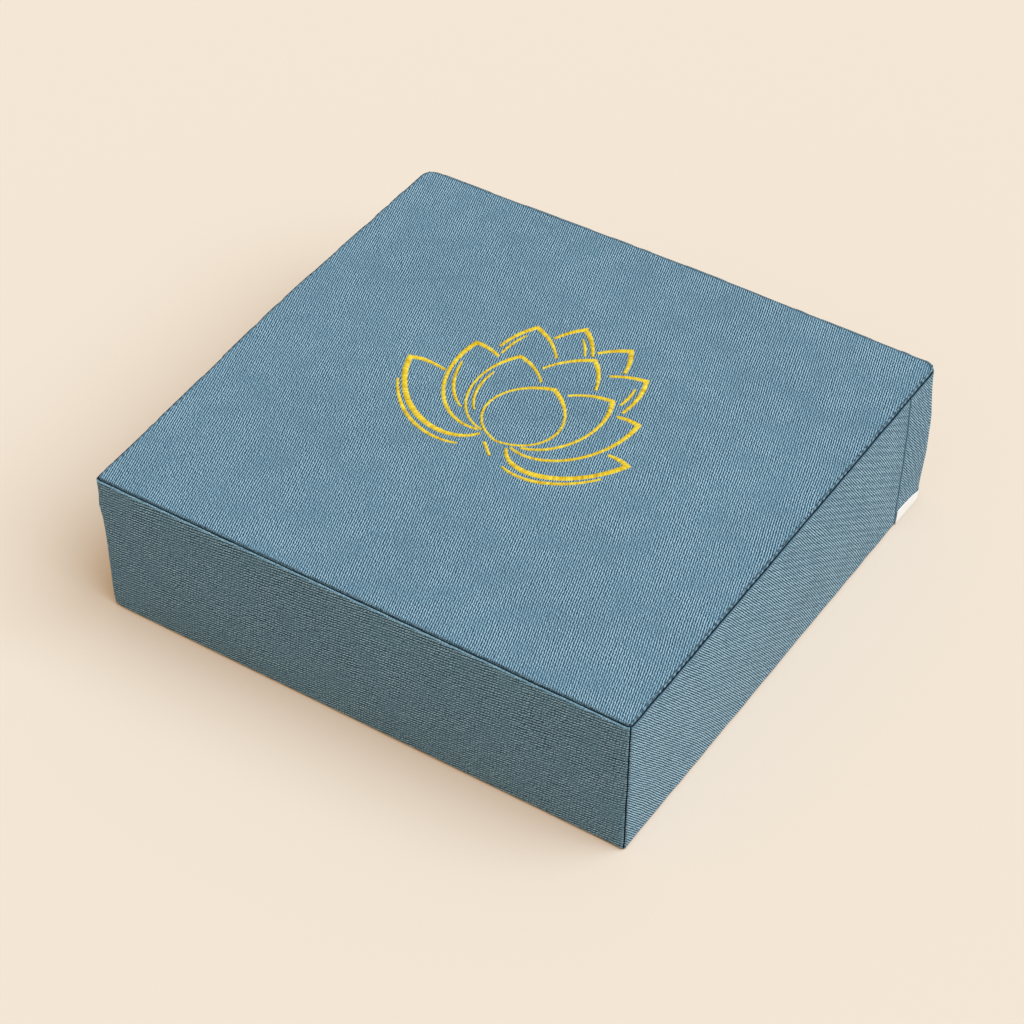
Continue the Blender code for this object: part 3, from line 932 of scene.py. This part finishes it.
def embroider(node, ground, material):
    left, right = ribbonSides(node)
    middle = (left + right) / 2
    # the longer of the two sides sets the spacing, so a fan at a tip has no holes
    steps = [np.linalg.norm(np.diff(side, axis=0), axis=1) for side in (left, right, middle)]
    longest = np.maximum(steps[2], np.maximum(steps[0], steps[1]) * 0.8)
    distance = np.concatenate([[0], np.cumsum(longest)])
    count = max(4, int(distance[-1] / satin["pitch"]))
    along = np.linspace(0, distance[-1], count)
    starts = resample(left, distance, np.clip(along - satin["slant"], 0, distance[-1]))
    ends = resample(right, distance, np.clip(along + satin["slant"], 0, distance[-1]))
    curve = bpy.data.curves.new(node + "_stitches", "CURVE")
    curve.dimensions = "3D"
    curve.bevel_depth = satin["thread"]
    curve.bevel_resolution = 1
    rng = random.Random(satin["seed"] + sum(map(ord, node)))
    tones = []
    for start, end in zip(starts, ends):
        width = float(np.linalg.norm(end - start))
        if width < 1e-5:
            continue
        before = rng.uniform(-0.3, 1) * satin["ragged"] / width
        past = rng.uniform(-0.3, 1) * satin["ragged"] / width
        dome = satin["dome"] * min(1.0, 0.55 + width / (5 * mm)) * rng.uniform(0.9, 1.1)
        spline = curve.splines.new("POLY")
        spline.points.add(len(satin["shares"]) - 1)
        for point, share, up in zip(spline.points, satin["shares"], satin["rise"]):
            share = -before + share * (1 + before + past)
            x, y = start + (end - start) * share
            hit = ground.ray_cast(Vector((x, y, height + 0.05)), Vector((0, 0, -1)))[0]
            point.co = (x, y, hit.z + dome * up, 1)
        tones.append(rng.random())
    mesh = curveMesh(curve)
    each = len(mesh.vertices) // len(tones)
    layer = mesh.attributes.new("stitch", "FLOAT", "POINT")
    layer.data.foreach_set("value", np.repeat(np.array(tones, np.float32), each))
    piece = dressPiece("stitched_" + node, mesh, material, replaces=(node,))
    return len(tones), len(piece.data.polygons)


def makeEmbroidery(top, material):
    ground = surfaceOf(top)
    nodes = [n for n in frame["nodes"] if n.startswith(("petal_", "vein_", "under_line", "stem_"))]
    counts = [embroider(node, ground, material) for node in sorted(nodes)]
    stitches, faces = (sum(column) for column in zip(*counts))
    print("embroidery:", stitches, "stitches,", faces, "faces")


# The label in the base seam

labelShape = {
    "columns": 28,
    "rows": 12,
    "thickness": 0.35 * mm,
    "stand": 0.45 * mm,
    "foot": 0.5 * mm,
    "taller": 1 * mm,  # than the CAD label, at the front end
    "back": 5.8 * mm,  # height of the back end
    "bow": 2.8 * mm,
    "forward": 3.8 * mm,  # the seam was pulled forward by as much
    "turn": 50,  # how far it goes round the corner, in degrees
}


def makeLabel(shell, material):
    # a strip that lies against the boxing, taller at its front end, its free edge slightly lifted
    low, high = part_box("care_label")
    front, back = high.z + labelShape["taller"], labelShape["back"]
    foot = labelShape["foot"]
    corner = shellShape["radii"][(1, 1)]
    centre = half - corner
    startY = low.y - labelShape["forward"]
    straight = centre - startY
    run = straight + corner * math.radians(labelShape["turn"])
    ground = surfaceOf(shell)
    bm = bmesh.new()
    bmesh.ops.create_grid(bm, x_segments=labelShape["columns"], y_segments=labelShape["rows"], size=0.5)
    for vert in bm.verts:
        share, up = vert.co.x + 0.5, vert.co.y + 0.5
        bow = math.sin(math.pi * share ** 0.8) * labelShape["bow"]
        topEdge = front + (back - front) * share ** 1.2 + bow
        z = foot + up * (topEdge - foot)
        along = share * run
        if along <= straight:
            start, out = Vector((half, startY + along, z)), Vector((1, 0, 0))
        else:
            turn = (along - straight) / corner
            out = Vector((math.cos(turn), math.sin(turn), 0))
            start = Vector((centre, centre, z)) + out * corner
        hit = ground.ray_cast(start + out * 0.03, -out)[0]
        lift = labelShape["stand"] + up ** 2 * (0.3 + 0.24 * math.sin(share * 7)) * mm
        vert.co = Vector((hit.x, hit.y, z)) + out * lift
    uvLayer = bm.loops.layers.uv.new("cut")
    for face in bm.faces:
        for loop in face.loops:
            loop[uvLayer].uv = (loop.vert.co.y, loop.vert.co.z)
    bmesh.ops.recalc_face_normals(bm, faces=bm.faces)
    if sum(face.normal.x for face in bm.faces) < 0:
        bmesh.ops.reverse_faces(bm, faces=bm.faces)
    label = addPiece("sewn_label", bm, material, replaces=("care_label",))
    label.visible_diffuse = False  # or it throws a bright patch on the floor
    addThickness(label, labelShape["thickness"])


# Inside: foam, wadding, inner case and the backing under the embroidery

insideShape = {
    "trim": 7 * mm,  # how much smaller the filling is than its CAD solids, on each side
    "inset": 6 * mm,  # the same for the case
    "caseThickness": 0.3 * mm,
    "bandRows": 12,
    "blockCuts": 24,
}


def makeBlock(name, node, lumps, material):
    # a block with eased edges and a slightly uneven skin
    low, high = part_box(node)
    trim = Vector((insideShape["trim"], insideShape["trim"], 0))
    size = high - low - 2 * trim
    bm = boxAt((low + high) / 2, size)
    easeEdges(bm, bm.edges[:], min(size.z, 8 * mm) * 0.3, 3)
    longEdges = [e for e in bm.edges if e.calc_length() > 20 * mm]
    bmesh.ops.subdivide_edges(bm, edges=longEdges, cuts=insideShape["blockCuts"], use_grid_fill=True)
    bm.normal_update()
    for vert in bm.verts:
        vert.co += vert.normal * (noise.noise(vert.co / (18 * mm)) - 0.5) * lumps
    piece = addPiece(name, bm, material, replaces=(node,))


def makeCaseSheet(name, node, cells, material):
    # a thin flat cloth with shallow ripples, inside its CAD slab
    low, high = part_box(node)
    inset = insideShape["inset"]
    bm = bmesh.new()
    bmesh.ops.create_grid(bm, x_segments=cells, y_segments=cells, size=0.5)
    size = high - low - Vector((2 * inset, 2 * inset, 0))
    middle = (low + high) / 2
    for vert in bm.verts:
        vert.co = Vector((middle.x + vert.co.x * size.x, middle.y + vert.co.y * size.y, middle.z))
        vert.co.z += noise.noise(vert.co / (24 * mm)) * 0.25 * mm
    piece = addPiece(name, bm, material, replaces=(node,))
    addThickness(piece, insideShape["caseThickness"])


def makeCaseBand(material):
    # the rim of a grid, raised row by row
    low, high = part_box("liner_band")
    inset = insideShape["inset"]
    size = high - low - Vector((2 * inset, 2 * inset, 2 * mm))
    middle = (low + high) / 2
    bm = bmesh.new()
    bmesh.ops.create_grid(bm, x_segments=40, y_segments=40, size=0.5)
    inner = [e for e in bm.edges if not e.is_boundary]
    bmesh.ops.delete(bm, geom=bm.faces[:], context="FACES_ONLY")
    bmesh.ops.delete(bm, geom=inner, context="EDGES")
    bmesh.ops.delete(bm, geom=[v for v in bm.verts if not v.link_edges], context="VERTS")
    for vert in bm.verts:
        vert.co = (middle.x + vert.co.x * size.x, middle.y + vert.co.y * size.y, low.z + 1 * mm)
    edges = bm.edges[:]
    rows = insideShape["bandRows"]
    for row in range(rows):
        grown = bmesh.ops.extrude_edge_only(bm, edges=edges)["geom"]
        edges = openEdges(grown)
        moveVerts(bm, newVerts(grown), Matrix.Translation((0, 0, size.z / rows)))
    bmesh.ops.recalc_face_normals(bm, faces=bm.faces)
    for vert in bm.verts:
        vert.co += vert.normal * noise.noise(vert.co / (20 * mm)) * 0.3 * mm
    piece = addPiece("case_band", bm, material, replaces=("liner_band",))
    addThickness(piece, insideShape["caseThickness"])


def makeInside():
    foam = makeFoam()
    wadding = makeWadding()
    caseCloth = makePlainWeave("caseCloth", linear(196, 192, 180), linear(238, 236, 228), 0.9 * mm)
    paper = makePlainWeave("backingPaper", linear(222, 222, 216), linear(244, 244, 240), 2.0 * mm, 0.1)
    makeBlock("foam_block", "foam_core", 0.3 * mm, foam)
    makeBlock("wadding_sheet_top", "wadding_top", 0.5 * mm, wadding)
    makeBlock("wadding_sheet_base", "wadding_base", 0.5 * mm, wadding)
    makeCaseSheet("case_top", "liner_top", 40, caseCloth)
    makeCaseSheet("case_base", "liner_base", 40, caseCloth)
    makeCaseBand(caseCloth)
    makeCaseSheet("stitch_backing", "embroidery_backing", 30, paper)
    print("inside made")


# The zip

coilShape = {
    "pitch": 1.3 * mm,
    "wire": 0.3 * mm,  # half thickness
    "pointsPerTurn": 12,
    "reach": 0.35 * mm,  # how far a turn's head stands out
}


def makeCoil(name, side, material):
    low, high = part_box("zip_coil_" + name)
    wire = coilShape["wire"]
    turns = int((high.x - low.x) / coilShape["pitch"])
    curve = bpy.data.curves.new("coil", "CURVE")
    curve.dimensions = "3D"
    curve.bevel_depth = wire
    curve.bevel_resolution = 1
    curve.use_fill_caps = True
    spline = curve.splines.new("POLY")
    steps = turns * coilShape["pointsPerTurn"]
    spline.points.add(steps)
    middle = (low + high) / 2
    depth = (high.y - low.y) / 2 - wire
    tall = (high.z - low.z) / 2 - wire
    offset = 0 if side > 0 else 0.5
    for step, point in enumerate(spline.points):
        turn = math.tau * (step / coilShape["pointsPerTurn"] + offset)
        # a squashed loop whose head, at the middle of the zip, is thicker and stands out
        across = math.cos(turn)
        z = middle.z - side * (across * tall + coilShape["reach"] * max(0.0, across) ** 3)
        y = middle.y + depth * math.copysign(abs(math.sin(turn)) ** 0.6, math.sin(turn))
        x = low.x + wire + (high.x - low.x - 2 * wire) * step / steps
        point.co = (x, y, z, 1)
    mesh = curveMesh(curve)
    dressPiece("coil_" + name, mesh, material, replaces=("zip_coil_" + name,))


def makeTape(name, material):
    # a woven strip with a slight wave
    low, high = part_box("zip_tape_" + name)
    middle = (low + high) / 2
    size = high - low
    bm = bmesh.new()
    bmesh.ops.create_grid(bm, x_segments=120, y_segments=6, size=0.5)
    for vert in bm.verts:
        vert.co = (middle.x + vert.co.x * size.x, middle.y, middle.z + vert.co.y * size.z)
        vert.co.y += noise.noise(vert.co / (15 * mm)) * 0.08 * mm
    bmesh.ops.recalc_face_normals(bm, faces=bm.faces)
    piece = addPiece("tape_" + name, bm, material, replaces=("zip_tape_" + name,))
    addThickness(piece, size.y * 0.8)


def curveShape(outlines, extrude, bevel):
    # a flat filled outline with holes, given a thickness and rounded edges, as a mesh in the XY plane
    curve = bpy.data.curves.new("outline", "CURVE")
    curve.dimensions = "2D"
    curve.fill_mode = "BOTH"
    curve.extrude = extrude
    curve.bevel_depth = bevel
    curve.bevel_resolution = 2
    curve.resolution_u = 6
    for points in outlines:
        spline = curve.splines.new("BEZIER")
        spline.bezier_points.add(len(points) - 1)
        spline.use_cyclic_u = True
        for knot, (x, y) in zip(spline.bezier_points, points):
            knot.co = (x, y, 0)
            knot.handle_left_type = knot.handle_right_type = "AUTO"
    bm = bmesh.new()
    bm.from_mesh(curveMesh(curve))
    bmesh.ops.remove_doubles(bm, verts=bm.verts, dist=1e-6)
    bmesh.ops.recalc_face_normals(bm, faces=bm.faces)
    return bm


def mirrored(points, flipX=1, flipY=-1):
    return points + [(x * flipX, y * flipY) for x, y in points[::-1]]


def addTo(bm, part):
    # one more shell in the same piece
    mesh = bpy.data.meshes.new("part")
    part.to_mesh(mesh)
    part.free()
    bm.from_mesh(mesh)
    bpy.data.meshes.remove(mesh)


toWall = Matrix.Rotation(math.radians(90), 4, "X")

sliderShape = {
    "plate": 1.2 * mm,
    "rounding": 0.3 * mm,
    # one side of a plate, as shares of the slider's length and width
    "plateSide": ((-0.5, 0.30), (-0.40, 0.46), (-0.05, 0.49), (0.34, 0.40), (0.5, 0.22)),
    "webLength": 4 * mm,
    "webWidth": 0.5 * mm,
    "lipLength": 0.62,  # share of the slider's length
    "lip": (0.7 * mm, 0.6 * mm),
    "bridgeSpan": 9.2 * mm,
    "bridgeWidth": 2.4 * mm,
    "bar": 1.0 * mm,
    "shoulder": 1.1 * mm,
}


def makeBridge(middleX, rise):
    # a flat bar bent over an arch
    side = sliderShape["bridgeSpan"] / 2
    bar = sliderShape["bar"]
    width = sliderShape["bridgeWidth"]
    within, under = side - bar, rise - bar
    outer = [(-side, 0), (-side, rise * 0.62), (-side + sliderShape["shoulder"], rise)]
    inner = [(within, 0), (within, under * 0.85), (within - 0.4 * mm, under)]
    points = mirrored(outer, -1, 1) + mirrored(inner, -1, 1)
    arch = bmesh.new()
    face = arch.faces.new([arch.verts.new((x, y, -width / 2)) for x, y in points])
    grown = bmesh.ops.extrude_face_region(arch, geom=[face], use_keep_orig=True)["geom"]
    moveVerts(arch, newVerts(grown), Matrix.Translation((0, 0, width)))
    bmesh.ops.recalc_face_normals(arch, faces=arch.faces)
    easeEdges(arch, [e for e in arch.edges if e.calc_face_angle(0) > 0.6], 0.22 * mm)
    moveVerts(arch, arch.verts, Matrix.Translation((middleX, half + 0.4 * mm, zipZ)))
    return arch


def makeSlider(metal):
    low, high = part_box("zip_slider")
    middleX = (low.x + high.x) / 2
    long, wide = high.x - low.x, high.z - low.z
    plate, rounding = sliderShape["plate"], sliderShape["rounding"]
    outline = mirrored([(x * long, y * wide) for x, y in sliderShape["plateSide"]])
    bm = bmesh.new()
    for y in (half, low.y + plate / 2):
        part = curveShape([outline], plate / 2 - rounding, rounding)
        moveVerts(part, part.verts, Matrix.Translation((middleX, y, zipZ)) @ toWall)
        addTo(bm, part)
    depth = half - low.y
    size = (sliderShape["webLength"], depth - plate, sliderShape["webWidth"])
    web = boxAt((middleX, half - depth / 2, zipZ), size)
    easeEdges(web, web.edges[:], 0.15 * mm)
    addTo(bm, web)
    # side lips that hold the coil
    for side in (1, -1):
        place = (middleX - 0.6 * mm, half - 0.9 * mm, zipZ + side * wide * 0.44)
        lip = boxAt(place, (long * sliderShape["lipLength"], *sliderShape["lip"]))
        easeEdges(lip, lip.edges[:], 0.2 * mm)
        addTo(bm, lip)
    addTo(bm, makeBridge(middleX, high.y - half - 0.6 * mm))
    addPiece("slider_body", bm, metal, body="slider", replaces=("zip_slider",))


pullShape = {
    "rail": 0.6 * mm,  # half thickness of the rail that is the hinge
    # one side of the outline from the rail on: distance from the hinge, and share of the pull's width
    "neck": ((-0.6 * mm, 0.36), (1.4 * mm, 0.49), (8 * mm, 0.48), (13 * mm, 0.30), (20 * mm, 0.36)),
    # the same, as distance from the far end
    "tip": ((3.2 * mm, 0.5), (0.6 * mm, 0.32), (0.0, 0.1)),
    "eye": ((0.9 * mm, 2.0 * mm), (4 * mm, 2.5 * mm), (7.3 * mm, 2.0 * mm)),
    "slot": ((6.5 * mm, 1.2 * mm), (4.4 * mm, 1.6 * mm), (3.0 * mm, 0.9 * mm)),
    "bevel": 0.3 * mm,
}


def makePull(metal):
    # drawn from its hinge at the origin towards -X, with the eye, a slot and a rounded end
    low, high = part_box("zip_pull")
    wide = high.z - low.z
    end = pullShape["rail"] - (high.x - low.x)
    neck = [(-x, share * wide) for x, share in pullShape["neck"]]
    tip = [(end + x, share * wide) for x, share in pullShape["tip"]]
    eye = [(-x, y) for x, y in pullShape["eye"]]
    slot = [(end + x, y) for x, y in pullShape["slot"]]
    outlines = [mirrored(neck + tip), mirrored(eye), mirrored(slot)]
    bm = curveShape(outlines, pullShape["bevel"], pullShape["bevel"])
    place = (high.x - pullShape["rail"], (low.y + high.y) / 2, (low.z + high.z) / 2)
    moveVerts(bm, bm.verts, Matrix.Translation(place) @ toWall)
    addPiece("pull_tab", bm, metal, body="pull", replaces=("zip_pull",))


crimp = {"depth": 0.35 * mm, "width": 0.5 * mm}


def makeStop(node, metal):
    # a small clamp: a bevelled block with a crimp across it
    low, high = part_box(node)
    middle = (low + high) / 2
    bm = boxAt(middle, high - low)
    bmesh.ops.subdivide_edges(bm, edges=bm.edges[:], cuts=4, use_grid_fill=True)
    for vert in bm.verts:
        if vert.co.y > high.y - 0.01 * mm:
            vert.co.y -= crimp["depth"] * math.exp(-(((vert.co.x - middle.x) / crimp["width"]) ** 2))
    easeEdges(bm, [e for e in bm.edges if e.calc_face_angle(0) > 1.2], 0.25 * mm)
    addPiece(node + "_clamp", bm, metal, replaces=(node,))


def makeZip():
    metal = makeMetal("zipMetal", (0.56, 0.57, 0.58), (0.34, 0.34, 0.35))
    nylon = makeNylon()
    tapeCloth = makePlainWeave("zipTapeCloth", linear(70, 98, 116), linear(122, 152, 168), 0.7 * mm)
    for name, side in (("upper", 1), ("lower", -1)):
        makeCoil(name, side, nylon)
        makeTape(name, tapeCloth)
    makeSlider(metal)
    makePull(metal)
    for node in ("zip_top_stop", "zip_bottom_stop"):
        makeStop(node, metal)
    print("zip made")


# Floor, light and camera

studio = {
    "floor": (0.62, 0.663, 0.627),
    "floorGlow": (0.256, 0.096, 0.0),  # lit a little from below, so shadows stay light and warm
    "sky": (0.38, 0.36, 0.318),
    "sun": (0.95, 0.98, 1.04),
    "sunStrength": 2.66,
    "sunSpread": 60,  # degrees
    "sunFrom": (0.64, 0.05, 1.0),
    "azimuth": 32.94,  # of the camera, in degrees
    "elevation": 41.85,
    "distance": 2.573,
    "aim": (-0.0286, 0.0305, 0.0),
    "lens": 114.9,
}


def makeFloor():
    bm = bmesh.new()
    bmesh.ops.create_grid(bm, x_segments=1, y_segments=1, size=20)
    mesh = bpy.data.meshes.new("floor")
    bm.to_mesh(mesh)
    bm.free()
    floor = bpy.data.objects.new("floor", mesh)
    shown.link(floor)
    floor.location.z = -0.1 * mm
    material, _, shader = newMaterial("floorPaint")
    setSockets(shader, {
        "Base Color": (*studio["floor"], 1),
        "Emission Color": (*studio["floorGlow"], 1),
        "Emission Strength": 1,
        "Roughness": 0.95,
        "Specular IOR Level": 0.0,
    })
    mesh.materials.append(material)


def makeLight():
    world = bpy.data.worlds.new("studioSky")
    world.use_nodes = True
    setSockets(world.node_tree.nodes["Background"], {"Color": (*studio["sky"], 1), "Strength": 1})
    bpy.context.scene.world = world
    light = bpy.data.lights.new("softKey", "SUN")
    light.energy = studio["sunStrength"]
    light.color = studio["sun"]
    light.angle = math.radians(studio["sunSpread"])
    key = bpy.data.objects.new("softKey", light)
    shown.link(key)
    key.rotation_mode = "QUATERNION"
    key.rotation_quaternion = Vector(studio["sunFrom"]).to_track_quat("Z", "Y")


def makeCamera():
    camera = bpy.data.cameras.new("camera")
    camera.lens = studio["lens"]
    camera.sensor_width = 36
    camera.clip_end = 60
    eye = bpy.data.objects.new("camera", camera)
    shown.link(eye)
    around, up = math.radians(studio["azimuth"]), math.radians(studio["elevation"])
    back = Vector((math.sin(around) * math.cos(up), -math.cos(around) * math.cos(up), math.sin(up)))
    eye.rotation_mode = "QUATERNION"
    eye.rotation_quaternion = (-back).to_track_quat("-Z", "Y")
    eye.location = Vector(studio["aim"]) + back * studio["distance"]
    bpy.context.scene.camera = eye
    bpy.context.scene.view_settings.view_transform = "Standard"


def makeCover():
    shell = makeShell()
    puffShell(shell)
    subdivide(shell)
    handShape(shell)
    storeOutward(shell.data)
    top = cutPanels(shell)
    ribbon = makePlainWeave("labelRibbon", linear(238, 240, 240), linear(252, 253, 250), 0.6 * mm, 0.06)
    makeLabel(shell, ribbon)
    bpy.data.objects.remove(shell)
    return top


makeFloor()
makeLight()
makeCamera()
top = makeCover()
makeEmbroidery(top, makeGoldThread())
makeInside()
makeZip()
